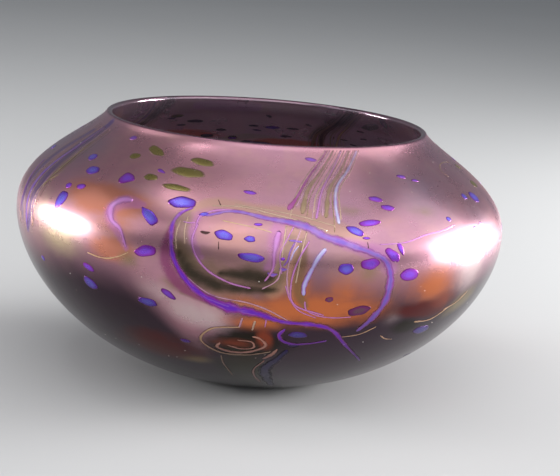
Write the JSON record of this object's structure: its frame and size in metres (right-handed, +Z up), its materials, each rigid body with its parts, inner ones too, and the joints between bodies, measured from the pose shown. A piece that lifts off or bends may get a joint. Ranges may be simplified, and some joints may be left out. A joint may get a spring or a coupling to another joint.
{
  "type": "art glass bowl",
  "caption": "Squat round blown glass bowl with a narrow mouth, a lustred amethyst wall, and threads, looped trails and chips of coloured glass melted in.",
  "frame": {"origin": "centre of the flat ring the bowl stands on, at the height of the table", "axes": "+Z straight up out of the mouth; -Y towards the viewer of the front, where the looped trails are; +X to that viewer's right"},
  "size_m": [0.19, 0.19, 0.0989],
  "materials": {
    "iridised_amethyst_glass": "glossy, with a metallic lustre film outside",
    "blue_chip_glass": "glossy",
    "violet_trail_glass": "glossy",
    "magenta_glass": "glossy",
    "pink_thread_glass": "glossy",
    "olive_glass": "glossy",
    "gold_thread_glass": "glossy",
    "pale_blue_thread_glass": "glossy",
    "green_glass": "glossy",
    "dark_glass": "glossy"
  },
  "bodies": {
    "root": {"blown_body": "iridised_amethyst_glass", "front_ribbon_magenta_thread": "magenta_glass", "front_ribbon_left_olive_thread": "olive_glass", "front_ribbon_pink_thread": "pink_thread_glass", "front_ribbon_right_olive_thread": "olive_glass", "front_ribbon_white_thread": "pale_blue_thread_glass", "left_ribbon_blue_thread": "blue_chip_glass", "left_ribbon_violet_thread": "violet_trail_glass", "left_ribbon_olive_thread": "olive_glass", "back_right_ribbon_olive_thread": "olive_glass", "back_right_ribbon_dark_thread": "dark_glass", "back_right_ribbon_pale_thread": "gold_thread_glass", "back_left_ribbon_dark_thread": "dark_glass", "back_left_ribbon_violet_thread": "violet_trail_glass", "outer_loop_trail": "violet_trail_glass", "inner_loop_trail": "blue_chip_glass", "inner_loop_tail": "pink_thread_glass", "eye_loop_trail": "violet_trail_glass", "pink_hook_trail": "pink_thread_glass", "pink_bar_trail": "pink_thread_glass", "back_loop_trail": "violet_trail_glass", "side_loop_trail": "violet_trail_glass", "white_strand": "pale_blue_thread_glass", "belly_pink_thread": "pink_thread_glass", "low_blue_thread": "blue_chip_glass", "low_gold_thread": "gold_thread_glass", "low_swirl_thread": "gold_thread_glass", "right_gold_thread": "gold_thread_glass", "leaf_chip": "blue_chip_glass", "triangle_chip": "violet_trail_glass", "eye_chip": "blue_chip_glass", "ring_chip": "magenta_glass", "left_shoulder_chip": "blue_chip_glass", "left_drop_chip": "blue_chip_glass", "left_small_chip": "violet_trail_glass", "belly_drop_chip": "blue_chip_glass", "belly_violet_chip": "violet_trail_glass", "lower_left_chip": "blue_chip_glass", "lower_violet_chip": "violet_trail_glass", "lower_blue_chip": "blue_chip_glass", "loop_first_chip": "blue_chip_glass", "loop_second_chip": "blue_chip_glass", "loop_low_chip": "blue_chip_glass", "right_upper_chip": "violet_trail_glass", "right_second_chip": "violet_trail_glass", "right_long_chip": "violet_trail_glass", "right_blue_chip": "blue_chip_glass", "inside_loop_chip": "blue_chip_glass", "loop_bend_chip": "violet_trail_glass", "outside_bend_chip": "violet_trail_glass", "outside_loop_chip": "violet_trail_glass", "far_right_chip": "blue_chip_glass", "low_right_chip": "blue_chip_glass", "upper_olive_chip": "olive_glass", "neck_olive_chip": "olive_glass", "long_olive_chip": "olive_glass", "faint_olive_chip": "olive_glass", "back_green_chip": "green_glass", "back_neck_chip": "dark_glass", "back_middle_chip": "blue_chip_glass"}
  },
  "joints": []
}
